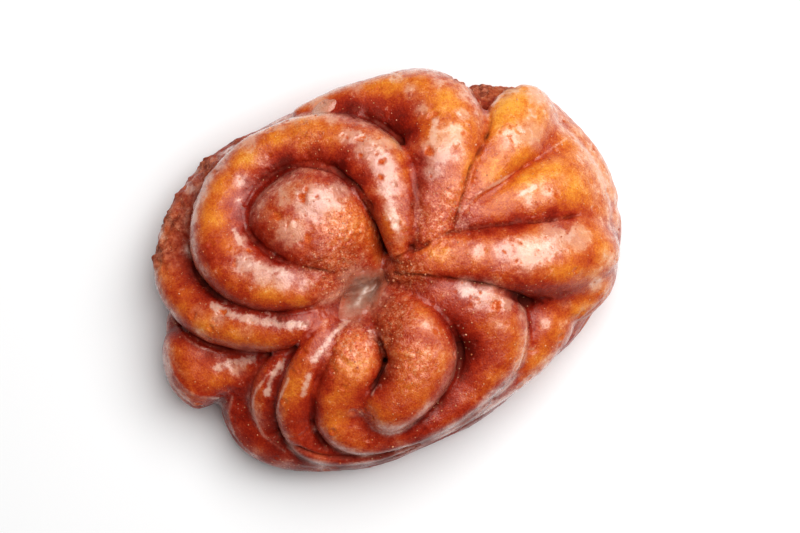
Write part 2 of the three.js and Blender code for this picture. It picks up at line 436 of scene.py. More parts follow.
# (x, y, reach, amount) in mm, looking down on the doughnut
patches = {
    "melt": [
        (-7, -3.4, 7, 1), (46, 9, 5, 0.9), (49, 4, 6, 0.8), (48, -7, 6, 1), (46, -11, 5, 0.7),
        (50, 12, 4, 0.8), (52, -3, 6, 0.9), (44, 18, 4, 0.5), (-19, -29, 4.5, 1), (-15, -33, 4, 0.8),
        (33, -23.4, 5, 1), (39.4, -23.4, 5, 1), (44, -20, 5, 0.8), (30, -24, 4, 0.5), (5, -33, 4, 0.7),
        (-44, -20, 5, 0.7), (-40, -28, 5, 0.5), (-36, -5, 3, 0.6), (3, 38, 3, 0.5), (-14, 0, 3, 0.8),
        (18.5, 28, 3.4, 0.8), (15, 33, 3.4, 0.8), (8, 35.6, 3, 0.7), (18.6, 22, 3, 0.7), (17, 16, 3, 0.6)],
    "golden": [
        (-2, 34, 7, 0.9), (-10, 35, 4, 1), (-17.6, 34, 4, 1), (-24.5, 30.5, 3.6, 0.8), (-29.4, 25, 3.4, 1),
        (-30.4, 19, 3, 0.8), (-31, 11, 3, 0.3), (-26, 5, 3, 0.5), (-20, 1, 3, 0.5), (-4, 11, 5, 1),
        (-12, 22, 4, 0.3), (-13, 16, 4, 0.4), (10, 26, 3, 0.4), (4, 8, 4, 0.4), (13.4, 24, 2, 0.9),
        (13.6, 20, 2, 0.8), (12.8, 16, 2, 0.6), (17, 35, 5, 1.1), (24, 33, 4, 0.9), (27, 27, 6, 1.2),
        (25, 21, 6, 1), (26, 13, 4, 0.9), (21, 6, 4, 0.6), (14, 3, 4, 0.6), (40, 18, 9, 1.4),
        (45, 15, 8, 1.2), (30, 10, 5, 1), (24, 7, 4, 0.8), (38, 8, 6, 1), (47, -3, 8, 1.2), (37, 3, 8, 1.1),
        (27, 3, 6, 0.8), (12, -2.6, 6, 0.9), (44, 5, 7, 1), (46, -12, 7, 1), (38, -15, 6, 0.8),
        (33, -9, 5, 0.6), (20, -8, 4, 0.5), (50, 8, 7, 1.3), (52, -2, 7, 1.3), (50, -10, 6, 1.2),
        (30, -11, 6, 0.5), (53, 5, 6, 1.2), (54, -7, 5, 1.2), (-13, -13, 4.5, 0.9), (-15, -17, 4, 0.6),
        (2, -15, 4, 0.6), (-20, -22, 4, 0.5), (-23, -28, 4, 0.5), (30, -28, 6, 0.9), (22, -32, 6, 0.9),
        (36, -27, 5, 0.9), (41, -23, 4, 1), (46, -18, 4, 1.1), (15, -22, 4, 0.4), (20, -16, 4, 0.5),
        (-44, -4, 6, 0.6), (-38, -6, 4, 0.6), (-36, -1, 5, 0.5), (-42, 6, 4, 0.5), (-44, 12, 4, 0.5),
        (-29, -17, 4, 0.5), (-1, -22, 5, 0.5), (-6, -27, 4, 0.4), (-7, -9, 5, 0.7), (0, -7, 5, 0.4),
        (-13, 0, 5, 0.6), (-3, 2, 5, 0.5), (-16, -5, 4, 0.6), (-8, 5, 4, 0.5)],
    # milky glaze film and painted highlight: patches of thick glaze and of the places where crests catch the
    # softbox, both painted pale
    "filmAndSheen": [
        (-7, -3, 8, 0.8), (-14, -2, 5, 0.6), (-4, 2, 4, 0.5), (1, -6, 4, 0.4), (-11, -8, 4, 0.6),
        (-9, 19, 6, 1), (-14, 22, 4, 0.7), (-3, 19, 4, 0.9), (-16, 15, 5, 0.8), (-19, 20, 4, 0.5),
        (-4, 24, 3, 0.6), (-14, 10, 3, 0.4), (-28, 13, 3.4, 1), (-25, 9.5, 3.4, 1), (-21.5, 6.5, 3.4, 0.9),
        (-18, 3.6, 3, 0.7), (-26, 18, 2.5, 0.6), (-21, 30.6, 2.6, 0.8), (-15, 32.6, 2.6, 0.6),
        (-23.5, 27, 2, 0.5), (-8, 33, 2.4, 0.5), (-37.6, 16, 3, 0.8), (-37.4, 22, 3, 0.9), (-35, 28, 3, 0.9),
        (-30, 33, 3, 0.8), (-24, 36, 3, 0.9), (-16, 37.6, 3, 0.9), (-8, 37.6, 2.6, 0.7), (3, 34.4, 2.6, 0.8),
        (-42, 8, 3, 0.6), (-38.6, 5, 3, 0.6), (-34, -0.4, 2.6, 0.6), (-45, 4, 3, 0.5), (-41, -2, 3, 0.5),
        (-39.6, -6.4, 2.6, 0.9), (-52, -4, 3, 0.4), (-50, -9, 3, 0.4), (-8.4, -13.4, 1.8, 0.8),
        (-24, -31, 3, 0.4), (3, -16, 3, 0.7), (4, -21, 3, 0.5), (-4, -26, 3, 0.3), (14, -12.4, 3, 0.9),
        (18, -15.6, 4, 1.1), (20.6, -19, 3.4, 0.9), (17, -23, 3, 0.5), (14, -17, 3, 0.5), (5, 29, 3.4, 0.9),
        (7.6, 25, 4, 1), (9, 20, 4, 1), (8, 15, 3.4, 0.9), (6.4, 11, 2.6, 0.8), (11.4, 24, 2.4, 1),
        (5, 4, 2.4, 0.5), (18, 14, 3, 0.9), (20.6, 17.6, 4, 1.1), (25, 19.6, 4, 1), (24.6, 14.6, 3, 0.7),
        (22, 28, 2.4, 0.8), (21.6, 33, 2.6, 0.8), (29.6, 23, 2.6, 0.7), (31.6, 27, 2.4, 0.8),
        (33, 22, 2, 0.7), (28, 32, 2.6, 0.8), (20, 37.6, 2.4, 0.8), (11, 39, 2.4, 0.7), (2, 38.6, 3, 0.9),
        (37, 14, 3.4, 0.9), (41.6, 13.6, 4.4, 1), (44, 17, 3, 0.7), (46.6, 20, 3.4, 0.9),
        (42, 23.4, 2.6, 0.7), (27, -27, 2, 0.8), (22, -31, 2, 0.8), (30.6, -29, 2, 0.7), (33, -25, 2, 0.5),
        (17, -34, 2, 0.6), (35, -0.6, 2.6, 0.7), (39.6, 0, 3, 0.7), (44, 0.6, 3, 0.5), (20, -6, 2.6, 0.7),
        (25, -8.6, 3.4, 0.9), (30, -11, 4.6, 1.2), (36, -11, 4.6, 1.2), (41.6, -12.6, 4, 1),
        (27, -14, 3, 0.7), (52.6, 12, 3, 0.9), (54.6, 5, 3, 0.9), (56, -1, 2.6, 0.9), (54.6, -8, 3, 0.9),
        (51, -14, 3, 0.8), (46, -19, 3, 0.8), (41, -23.6, 2.6, 0.8), (36.6, -27, 2, 0.5)],
    # painted shade: patches that darken the colour on slopes turned from the light and along the shaded
    # lower-left side
    "paintedShade": [
        (-17, 29.8, 2.6, 0.8), (-10, 30.6, 2.8, 1), (-3, 29, 2.8, 1), (1.6, 25, 2.8, 1), (3.6, 19, 2.4, 1),
        (3.4, 13, 2, 0.8), (-20, 12, 3, 0.7), (-22.6, 17, 2.4, 0.7), (-15, 8, 3, 0.6), (-35.6, 13, 3, 0.4),
        (-38.6, 17, 3, 0.6), (-31, 7, 3, 0.6), (-29, 2.6, 3, 0.5), (-38, 11.6, 3.4, 0.5), (-33, 4.6, 3, 0.6),
        (-26, -0.4, 3, 0.6), (-48, 6, 3.6, 0.9), (-46, 2, 3, 0.6), (-50, -1, 4, 0.5), (-47, -5, 4, 0.4),
        (28, -29, 5, 0.3), (2, -20, 4, 0.3), (-2, -24, 4, 0.3), (-36.6, -4.4, 2.6, 0.5), (14, 33, 3.6, 1),
        (17, 29.4, 3.4, 1), (17.8, 24, 2.4, 1), (17.2, 18, 2.2, 0.8), (15, 13, 2.2, 0.6), (8, 36, 3, 0.9),
        (-35, 18, 3, 0.5), (-34, 12, 3, 0.4), (-2, -18, 4, 0.2), (12, 8, 2.6, 0.6), (25, -16, 3.4, 0.8),
        (29, -20.4, 3.4, 1), (33, -22.6, 2.6, 0.9), (24, -18.6, 2, 0.8), (18, -11.6, 2.4, 0.6),
        (10, -6.6, 2.6, 0.6), (6, -3, 3, 0.5), (31, -3.4, 2.4, 0.7), (38, -5.6, 2.2, 0.7), (26, 3.4, 2, 0.5),
        (9, -25, 4, 0.9), (10, -19, 3, 0.7), (6, -29, 3.4, 0.8), (12, -29, 3, 0.5), (-1, -31.6, 3, 0.6),
        (-9, -32.6, 3, 0.6), (-9, -16, 2.4, 0.9), (-11, -22, 2.6, 0.7), (-23, -18.6, 2.6, 0.8),
        (-27.6, -22, 2.6, 0.7), (-17, -23.6, 2.4, 0.5), (-33, 18, 3, 0.7), (13, 5, 5, 0.55),
        (-46, -3, 6, 0.5), (31, -25.6, 3, 0.5), (-2, -17, 6, 0.35), (-10, -38.5, 3, 0.8), (20, 0.4, 3, 0.4),
        (24, -2.4, 2.4, 0.5), (-44, -16, 4, 0.9), (-45, -22, 4, 1), (-41, -27, 4, 1), (-36, -32, 4, 0.9),
        (-28, -36, 4, 0.9), (-38, -22, 5, 0.6), (-18, -38.6, 4, 0.8), (-8, -39, 4, 0.7), (2, -39, 4, 0.6),
        (-50, -8, 4, 0.5), (-54, -4, 4, 0.5), (-48, 14, 3, 0.5), (-40, -11, 3, 0.5), (-34, -23, 3, 0.6),
        (-36.6, -19, 2.6, 0.6), (-37, -28, 3.6, 0.6), (-41, -17, 3, 0.5), (-30, -31, 2.6, 0.6)],
    "wall": [
        (-45, 26, 5, 1), (-40, 31, 5, 1), (-34, 35.5, 5, 1), (-27, 38.5, 4.5, 1), (-20, 39.5, 4, 0.8),
        (37, 27.5, 4, 1), (32, 30, 3, 0.8), (42, 25, 3, 0.7)],
    "drips": [
        (-21, 39, 2.6, 1), (-24, 38, 2, 0.9), (-33, 35, 2.4, 1), (-30, 37, 2, 0.8), (-6, 39.6, 3, 1),
        (-43, 28, 2, 0.8), (-37, 32, 1.6, 0.8)],
    "grain": [
        (-5, 11.5, 5, 1), (-14, -13.6, 4.6, 1), (20, 5.6, 5, 0.6), (14, 3, 6, 0.7), (-13, 2, 4, 0.6),
        (-16, 4, 3, 0.5), (-2, -12, 5, 0.5), (4, -4, 5, 0.5), (-9, 5, 5, 0.7), (-3, -22, 5, 0.6),
        (18, -18, 2, 0.7), (-3, 33, 3, 0.5), (-7.4, -15.4, 1.8, 0.8)],
}

# the lines where folds meet: how deep each is, which also sets its crease's painted shade, how much is cut
# where they have grown together, and its (x, y) points
seams = [
    (1, 0, [(-22, 26.4), (-18, 29.2), (-14, 30), (-9.4, 29.4), (-5, 27), (-1, 23.6), (2, 19), (3, 13)]),
    (0.5, 0.85, [(-16.4, 28.8), (-9.6, 28.8), (-5, 26.4), (-1.2, 23), (1.6, 18.6), (2.6, 13)]),
    (0.4, 0, [(3, 13), (2.4, 7), (1.6, 1.6)]),
    (0.9, 0.5, [(-24.8, 20), (-23.4, 15), (-20.4, 10.4), (-16, 6.4), (-13, 4.2), (-11, 2.6)]),
    (0.8, 0, [(2, 36.4), (7, 33.4), (11, 30.4), (14, 26.4), (15.4, 21), (14.4, 16), (12, 11), (9.4, 6)]),
    (1, 0, [(-40, 20), (-38.6, 14), (-36, 9), (-31, 4), (-25, -0.2), (-19, -2.6)]),
    (0.9, 0, [(-30, -30), (-30, -25), (-28.4, -20.4), (-25, -17), (-20, -13.6), (-16, -10)]),
    (1, 0.8, [(-9, -14), (-8.2, -17), (-9, -19.8), (-12, -22.4), (-15, -24.6)]),
    (0.7, 0.8, [(3, 0.2), (8, 0.1), (12, 0.3), (17, 0.3)]),
    (0.55, 0.8, [(17, 0.3), (22, -1), (28, -3), (34, -5), (40, -7), (43.6, -8)]),
    (0.5, 0.7, [(18, 1.6), (22.4, 6.8), (26, 11)]),
    (0.9, 0.9, [(26, 11), (30, 14), (33, 17)]),
    (0.6, 0.3, [(33, 17), (35.4, 20.6), (35.6, 24)]),
    (0.4, 0, [(25, 5), (32, 6.4), (40, 7.4), (47, 8.6)]),
    (1, 0.8, [(1, -2.6), (6, -5.6), (11, -8.8), (16, -12), (20, -14.8), (23.4, -18.4), (25.4, -20.6)]),
    (0.6, 0, [(25.4, -20.6), (24.4, -25), (21, -30), (16, -34.4)]),
    (0.5, 0, [(25.4, -20.6), (29, -23.6), (34, -25.6), (39, -26)]),
    (0.8, 0, [(3, -9), (5.6, -13), (7.4, -17), (8, -21), (7.4, -25), (4.6, -28.6), (0, -31.8), (-6, -34)]),
    (0.7, 0, [(-47.6, 7), (-43, 1), (-37, -4), (-31, -6.6), (-25, -8)]),
    (0.5, 0, [(-34, -10), (-38, -12.6), (-42, -12)]),
    (0.5, 0.75, [(-36, -27), (-31.8, -31.6), (-25.8, -35.2), (-18.6, -38.2), (-10, -39.6)]),
    (0.6, 0, [(-24, -9.4), (-30, -13.4), (-34.4, -18), (-37, -24), (-35, -30), (-29, -34.4), (-20, -37.4)]),
]

# painted highlights: long pale streaks along the crests, which also thicken the milky film: reach and points
shines = [
    (1.1, [(-12.4, -7.4), (-17.6, -9.6), (-22.8, -12.4)]),
    (0.9, [(-25.4, -15), (-28.6, -18.4)]),
    (1, [(-29.5, -9.8), (-32.6, -11.4), (-35.9, -14.6)]),
    (1.4, [(-44, -4.8), (-40, -5.2), (-35.6, -6.4)]),
    (0.9, [(-9.4, -12), (-10.6, -14.6)]),
    (1.3, [(7.4, 14), (6.4, 10), (5.6, 6.4)]),
    (1.6, [(29, -10.4), (34, -11), (39.6, -11.4)]),
    (0.9, [(33, 1.4), (37.6, 1.6)]),
    (1.2, [(-38.4, 8), (-35, 4), (-31, 0.8), (-26, -2.4), (-21.4, -4.6)]),
    (1.1, [(-27.6, 13.4), (-24.6, 10.4), (-20.8, 7.8)]),
    (0.8, [(-27, 21), (-27, 17.8)]),
    (1.5, [(-10.6, 22), (-7, 18.8), (-3.4, 15.6)]),
    (1.2, [(6.8, 28.6), (9, 25.6), (10, 22)]),
    (1.3, [(20, 18), (21.6, 21), (23.6, 24)]),
    (1.2, [(13.4, -12.6), (17.4, -15.4), (19.6, -18.4)]),
]

# thin pale lips of glaze along the edges of the folds
lips = [
    [(20, 3.5), (25, 5.4), (30, 6), (35, 6.6), (42, 7.6), (49, 8.8)],
    [(24.2, -22), (22.6, -26), (20, -30), (15.6, -34.6), (10, -36.6), (4, -38.4), (-4, -39.4), (-12, -38.6)],
    [(-29.8, -26), (-29.2, -29.4), (-25.9, -33.8), (-18.3, -37.2), (-9.4, -38.6)],
    [(-9.2, -20.6), (-12, -22.6), (-14.6, -24.8)],
    [(-48.6, 9), (-47.4, 4), (-43, -1), (-37, -5), (-30, -7.8)],
    [(-52.6, 2), (-53, -3), (-51, -8), (-46.6, -11)],
    [(31.6, 30), (34, 27.4), (35.2, 24), (34.4, 20)],
    [(37, 22), (40, 23.4), (44, 24), (47.6, 22)],
    [(-38.4, 17), (-38.6, 22), (-36.4, 27), (-32.6, 31.6), (-26, 35.8), (-18, 38), (-8, 38.2), (0, 36.6),
     (7, 33)],
    [(-30, -13.8), (-34.6, -18.4), (-37.2, -24), (-35, -30)],
    [(-34, -11), (-38.6, -14), (-40.6, -18), (-40.8, -23), (-38, -28)],
    [(-37, -27.4), (-33, -32), (-26, -36.4), (-18.6, -39), (-10.4, -40.2), (0, -39.8)],
    [(-43.6, -12), (-46.4, -16), (-46.6, -22), (-43, -28), (-37, -33.4), (-29, -37)],
]


def nearness(points, xy, reach):         # 1 on the line through points, nothing a few reaches away
    line = smoothPath([(*p, 0) for p in points], 12)[:, :2]
    near = np.flatnonzero(((xy > line.min(0) - 3 * reach) & (xy < line.max(0) + 3 * reach)).all(1))
    apart = np.full(len(near), np.inf)
    for p in line:
        apart = np.minimum(apart, ((xy[near] - p) ** 2).sum(1))
    share = np.zeros(len(xy))
    share[near] = np.exp(-apart / reach ** 2)
    return share


def patchShare(kind, xy):                # full in the middle of a patch, fading over its reach
    share = np.zeros(len(xy))
    for x, y, reach, amount in patches[kind]:
        away = ((xy[:, 0] - x) ** 2 + (xy[:, 1] - y) ** 2) / reach ** 2
        share = np.maximum(share, amount * np.exp(-away))
    return share


# rounds of smoothing: all over, where folds have run together, and where glaze fills the sharpest lines
settle = {
    "first": 4,
    "melt": {"rounds": 140, "edge": 10},
    "gutter": {"rounds": 14, "edge": 3, "full": 0.06},     # full at this depth in mm
}
# the smoother skins that lines, hollows and valleys are measured from
smoother = {"line": 6, "hollow": 30, "valley": 120, "valleyShare": 0.9}


def depthBelow(level):
    return ((level - co) * normal).sum(1)


co = relax(readPoints(skin), settle["first"])
normal = readNormals(skin)
melt = relax(patchShare("melt", co[:, :2])[:, None], settle["melt"]["edge"])
co += (relax(co, settle["melt"]["rounds"]) - co) * melt
gutter = np.clip(depthBelow(relax(co, smoother["line"])) / settle["gutter"]["full"], 0, 1)
gutter = relax(gutter[:, None], settle["gutter"]["edge"])
co += (relax(co, settle["gutter"]["rounds"]) - co) * gutter
writePoints(skin, co)
normal = readNormals(skin)
say("smoothed")
calm = relax(co, smoother["hollow"])
hollow = depthBelow(calm)
line = depthBelow(relax(co, smoother["line"]))
valley = depthBelow(relax(calm, smoother["valley"], smoother["valleyShare"]))
say("lines, hollows and valleys measured")

# the skin takes the CAD box's length, width and middle
shift = np.array([(cadLow.x + cadHigh.x) / 2 / mm, (cadLow.y + cadHigh.y) / 2 / mm, 0])
least, most = co.min(0), co.max(0)
middle = np.array([(least[0] + most[0]) / 2, (least[1] + most[1]) / 2, least[2]])
co = co - middle
co[:, :2] *= [(cadHigh[k] - cadLow[k]) / mm / np.ptp(co[:, k]) for k in (0, 1)]
co = co + shift
writePoints(skin, co * mm)
say("fitted")

# depths, heights and sizes in mm
relief = {
    "lumps": {"size": 13, "depth": 0.6},
    "swell": {"size": 5, "depth": 0.16},
    "ripple": {"size": 2.2, "depth": 0.06},
    "grain": {"size": 1.2, "depth": 0.5},
    "wall": {"size": 2.4, "depth": 1.3},
    "crumb": {"size": 1.2, "depth": 0.8},
    "creases": {"depth": 1.3},
    "lips": {"height": 0.2},
    "cuts": {"solid": 0.75, "broken": 1.5, "breaks": 3.5, "least": 0.25},
    "pits": {"count": 320, "smallest": 0.45, "largest": 1.1, "fewLarge": 2.5, "depth": 0.3, "reach": 1.5,
             "brim": 0.25, "brimAt": 1.1, "brimWidth": 0.25, "steepest": 0.1, "deepest": 0.2},
    "scars": {"size": 1.3, "fineSize": 0.4, "fine": 0.5, "patchSize": 11, "patchy": 0.6, "share": 0.06,
              "edge": 0.07, "depth": 0.3, "clear": 6, "byFilmAndSheen": 1.4, "offFilmAndSheen": 0.2},
    "layers": {"lines": [(13, 0.7), (8.5, 0.9), (4.5, 0.6)], "thick": 0.8, "solid": 0.45, "broken": 1.6,
               "breaks": 15, "waver": 5, "waverSize": 16},
    # where the film has come off, and bubbles in it: (x, y, radius)
    "bare": [(5.4, 24.1, 0.7), (8.7, 20.8, 1), (7.1, 17.6, 0.8), (-10.2, 20.9, 1), (-17.2, 19.4, 0.9),
             (19.5, 18.5, 1.2), (18.4, -18.4, 1.3), (-13, 12, 1.1), (28, 18.8, 0.5), (-26, 15.6, 0.7),
             (-37, 6, 1), (41, -2.4, 0.5), (24, 25.6, 0.8), (4, -18, 0.6)],
    "bareEdge": {"start": 1.05, "over": 0.25, "ragged": 0.7},
    "bubbles": [(-26, -28.5, 0.95), (-17.5, -27.2, 0.6), (5.6, 8.4, 0.6), (-29.6, 17.8, 0.7), (-35, -16, 0.5),
                (18, 14.4, 0.5), (-20, -32.4, 0.5), (44, -1, 0.5), (20.8, 27, 0.6), (12, -13, 0.5)],
    "bubbleRise": 0.3,
    "bubbleRing": 0.3,
    "bubbleHollow": 0.7,
}
reaches = {"seam": 2.2, "cut": 0.34, "lip": 0.5}
# where each mark starts and over how much it grows to full, in mm
starts = {"foot": (1.5, 4), "wall": (26, -6), "low": (17, -9), "tight": (0.22, 0.25)}
creasing = {"from": 0.06, "over": 0.05, "seamHelp": 0.038, "offSeam": 0.15, "hollowOffSeam": 0.4,
            "valleyOver": 2.4}
filmAndSheenOn = {"drips": 0.8, "shine": 0.85}


def noiseAt(co, size, seed):
    away = Vector((seed * 17.3, seed * 5.1, seed * 9.7))
    return np.array([noise.noise(Vector(p) / size + away) for p in co])


def grown(values, start, over):
    return np.clip((values - start) / over, 0, 1)


def awayFrom(x, y):
    return np.hypot(xy[:, 0] - x, xy[:, 1] - y)


xy, height = co[:, :2], co[:, 2]
golden, filmAndSheen, wall, grain, paintedShade, drips = (
    patchShare(kind, xy) for kind in ("golden", "filmAndSheen", "wall", "grain", "paintedShade", "drips"))
deep = np.max([depth * nearness(points, xy, reaches["seam"]) for depth, _, points in seams], 0)
cut = np.max([share * nearness(points, xy, reaches["cut"]) for _, share, points in seams if share], 0)
cuts = relief["cuts"]                              # broken here and there
cut *= np.clip(cuts["solid"] + cuts["broken"] * noiseAt(co, cuts["breaks"], 22), cuts["least"], 1)
lip = np.max([nearness(points, xy, reaches["lip"]) for points in lips], 0)
shine = np.max([nearness(points, xy, reach) for reach, points in shines], 0)
normal = readNormals(skin)
above = grown(height, *starts["foot"])             # the foot stays flat
crease = relax(line[:, None], 2)[:, 0] - creasing["from"] + creasing["seamHelp"] * deep
crease = np.clip(crease / creasing["over"], 0, 1)
crease = crease * crease * (3 - 2 * crease)
crease *= creasing["offSeam"] + (1 - creasing["offSeam"]) * deep
dip = np.clip(0.5 + valley / creasing["valleyOver"], 0, 1)
slope = np.clip(1 - normal[:, 2], 0, 1)
away = xy - (pinch["x"], pinch["y"])
away /= np.maximum(np.linalg.norm(away, axis=1), 1)[:, None]
outward = (normal[:, :2] * away).sum(1)
tight = grown(hollow, *starts["tight"]) * (creasing["hollowOffSeam"] + (1 - creasing["hollowOffSeam"]) * deep)
wall = np.clip(wall * grown(height, *starts["wall"]), 0, 1) * (1 - drips)
filmAndSheen = np.maximum(filmAndSheen, filmAndSheenOn["drips"] * drips)
filmAndSheen = np.maximum(filmAndSheen, filmAndSheenOn["shine"] * shine)
low = grown(height, *starts["low"]) * np.clip(1.3 - 2 * normal[:, 2], 0, 1)
say("marks laid out")

where = {"lumps": 1, "swell": 1, "ripple": 1 - 0.5 * crease, "grain": np.clip(grain + 0.15, 0, 1),
         "wall": wall, "crumb": wall}
push = np.zeros(len(co))
for seed, (name, share) in enumerate(where.items(), 1):
    push += relief[name]["depth"] * noiseAt(co, relief[name]["size"], seed) * share

scar = relief["scars"]
scars = noiseAt(co, scar["size"], 7) + scar["fine"] * noiseAt(co, scar["size"] * scar["fineSize"], 8)
scars -= scar["patchy"] * noiseAt(co, scar["patchSize"], 9)
scars = grown(scars, np.quantile(scars, 1 - scar["share"]), scar["edge"]) * (1 - crease)
scars *= np.clip(scar["byFilmAndSheen"] * filmAndSheen - scar["offFilmAndSheen"], 0, 1)
scars *= np.clip(awayFrom(pinch["x"], pinch["y"]) / scar["clear"] - 1, 0, 1)
ragged = relief["bareEdge"]["ragged"]
ragged = ragged * noiseAt(co, 1.5, 20), ragged * noiseAt(co, 0.7, 21)
for x, y, radius in relief["bare"]:
    share = awayFrom(x, y) / radius + ragged[0] + ragged[1]
    spot = np.clip((relief["bareEdge"]["start"] - share) / relief["bareEdge"]["over"], 0, 1)
    scars = np.maximum(scars, spot * (normal[:, 2] > 0))
push -= scar["depth"] * scars


def pressPits(push, co, normal):
    rng = np.random.default_rng(11)
    tree = kdtree.KDTree(len(co))
    for i, p in enumerate(co):
        tree.insert(p, i)
    tree.balance()
    pits = relief["pits"]
    free = np.flatnonzero((normal[:, 2] > pits["steepest"]) & (hollow < pits["deepest"]))
    for i in rng.choice(free, pits["count"], replace=False):
        large = rng.random() ** pits["fewLarge"]
        radius = pits["smallest"] + (pits["largest"] - pits["smallest"]) * large
        for _, j, away in tree.find_range(co[i], radius * pits["reach"]):
            share = away / radius
            brim = pits["brim"] * math.exp(-((share - pits["brimAt"]) / pits["brimWidth"]) ** 2)
            push[j] -= pits["depth"] * radius * (max(0, 1 - share * share) - brim)
    return push


push = pressPits(push, co, normal)
layers = relief["layers"]
waver = noiseAt(co, layers["waverSize"], 12)
side = np.clip(1.2 - 2 * normal[:, 2], 0, 1)
for k, (level, depth) in enumerate(layers["lines"]):
    strong = np.clip(layers["solid"] + layers["broken"] * noiseAt(co, layers["breaks"], 13 + k), 0, 1)
    band = np.exp(-((height - level - layers["waver"] * waver) / layers["thick"]) ** 2)
    push -= depth * strong * band * side
for x, y, radius in relief["bubbles"]:
    share = awayFrom(x, y) / radius
    ring = np.exp(-((share - 1) / relief["bubbleRing"]) ** 2) - np.exp(-(share / relief["bubbleHollow"]) ** 2)
    push += relief["bubbleRise"] * radius * ring * (normal[:, 2] > 0)
push -= relief["creases"]["depth"] * np.maximum(crease, cut)
push += relief["lips"]["height"] * lip * (1 - crease)
co = co + normal * (push * above)[:, None]
co[:, 2] = np.maximum(co[:, 2], 0)
writePoints(skin, co * mm)
say("relief")

marks = {
    "crease": crease, "dip": dip, "slope": slope, "outward": outward, "tight": tight, "scars": scars,
    "filmAndSheen": filmAndSheen, "golden": golden, "wall": wall, "grain": grain, "paintedShade": paintedShade, "lip": lip, "cut": cut,
    "low": low, "shine": shine,
}
for name, values in marks.items():
    layer = skin.attributes.new(name, "FLOAT", "POINT")
    layer.data.foreach_set("value", np.asarray(values, np.float32))


def thin(mesh, faces):
    heavy = addObject("heavy", mesh)
    bm = bmesh.new()
    bm.from_mesh(mesh)
    bmesh.ops.triangulate(bm, faces=bm.faces)
    bm.to_mesh(mesh)
    bm.free()
    lighter = heavy.modifiers.new("lighter", "DECIMATE")
    lighter.ratio = min(1, faces / len(mesh.polygons))
    return applied(heavy)


skin = thin(skin, dough["faces"])
say(f"thinned to {len(skin.polygons)} triangles")
for p in skin.polygons:
    p.use_smooth = True
doughnut = addObject("dough", skin)


class Nodes:
    def __init__(self, name=None, tree=None):
        if tree is None:
            self.material = bpy.data.materials.new(name)
            self.material.use_nodes = True
            tree = self.material.node_tree
            self.shader = tree.nodes["Principled BSDF"]
        self.tree = tree

    def add(self, kind, **settings):
        node = self.tree.nodes.new(kind)
        for name, value in settings.items():
            setattr(node, name, value)
        return node

    def link(self, a, b):
        if isinstance(a, (int, float)):
            b.default_value = a
        else:
            self.tree.links.new(a, b)

    def attribute(self, name):
        return self.add("ShaderNodeAttribute", attribute_name=name).outputs["Fac"]

    def math(self, operation, a, b=0.0, c=0.0, clamp=False):
        node = self.add("ShaderNodeMath", operation=operation, use_clamp=clamp)
        for value, socket in zip((a, b, c), node.inputs):
            self.link(value, socket)
        return node.outputs[0]

    def times(self, a, b, clamp=False):
        return self.math("MULTIPLY", a, b, clamp=clamp)

    def scaled(self, a, by, plus=0.0, clamp=False):              # a times by, plus plus
        return self.math("MULTIPLY_ADD", a, by, plus, clamp)

    def most(self, *values):
        result = values[0]
        for value in values[1:]:
            result = self.math("MAXIMUM", result, value)
        return result

    def weigh(self, start, masks, weights, clamp=False):         # start plus each mask times its weight
        last = list(weights)[-1]
        for name, weight in weights.items():
            start = self.scaled(masks[name], weight, start, clamp and name == last)
        return start

    def noise(self, place, size, detail=2.0, roughness=0.5):
        node = self.add("ShaderNodeTexNoise")
        node.inputs["Scale"].default_value = 1 / (size * mm)
        node.inputs["Detail"].default_value = detail
        node.inputs["Roughness"].default_value = roughness
        self.link(place, node.inputs["Vector"])
        return node.outputs["Fac"]

    def specks(self, place, size, reach):
        node = self.add("ShaderNodeTexVoronoi")
        node.inputs["Scale"].default_value = 1 / (size * mm)
        self.link(place, node.inputs["Vector"])
        apart = self.add("ShaderNodeSeparateColor")
        self.link(node.outputs["Color"], apart.inputs["Color"])
        near = self.math("SUBTRACT", self.times(apart.outputs["Red"], reach), node.outputs["Distance"])
        return self.times(near, 16, clamp=True)                  # 16 makes their edges sharp

    def ramp(self, value, stops):
        node = self.add("ShaderNodeValToRGB")
        ramp = node.color_ramp
        while len(ramp.elements) < len(stops):
            ramp.elements.new(0.5)
        for element, (at, colour) in zip(ramp.elements, stops):
            element.position = at
            element.color = (*colour, 1)
        self.link(value, node.inputs["Fac"])
        return node.outputs["Color"]

    def mix(self, share, a, b):
        node = self.add("ShaderNodeMix", data_type="RGBA")
        self.link(share, node.inputs["Factor"])
        for value, socket in ((a, node.inputs[6]), (b, node.inputs[7])):
            if isinstance(value, tuple):
                socket.default_value = (*value, 1)
            else:
                self.tree.links.new(value, socket)
        return node.outputs[2]

    def bump(self, height, distance):
        node = self.add("ShaderNodeBump")
        node.inputs["Strength"].default_value = 1
        node.inputs["Distance"].default_value = distance * mm
        self.link(height, node.inputs["Height"])
        return node.outputs["Normal"]

    def finish(self, sockets, constants):
        for name, value in sockets.items():
            self.link(value, self.shader.inputs[name])
        for name, value in constants.items():
            self.shader.inputs[name].default_value = value
        return self.material


# the noises of the sugary surface: size in mm, detail and roughness
sugaryNoises = {"Mottle": (3.2, 4, 0.6), "Fine": (1.3, 4, 0.65), "Tiny": (0.38, 3, 0.6)}


def makeSugaryGrain():
    tree = bpy.data.node_groups.new("sugaryGrain", "ShaderNodeTree")
    tree.interface.new_socket("Place", in_out="INPUT", socket_type="NodeSocketVector")
    for name in sugaryNoises:
        tree.interface.new_socket(name, in_out="OUTPUT", socket_type="NodeSocketFloat")
    n = Nodes(tree=tree)
    place = n.add("NodeGroupInput").outputs["Place"]
    out = n.add("NodeGroupOutput")
    for name, look in sugaryNoises.items():
        n.link(n.noise(place, *look), out.inputs[name])
    return tree


sugaryGrain = makeSugaryGrain()


def sugary(n, place):
    node = n.add("ShaderNodeGroup", node_tree=sugaryGrain)
    n.link(place, node.inputs["Place"])
    return (node.outputs[name] for name in sugaryNoises)


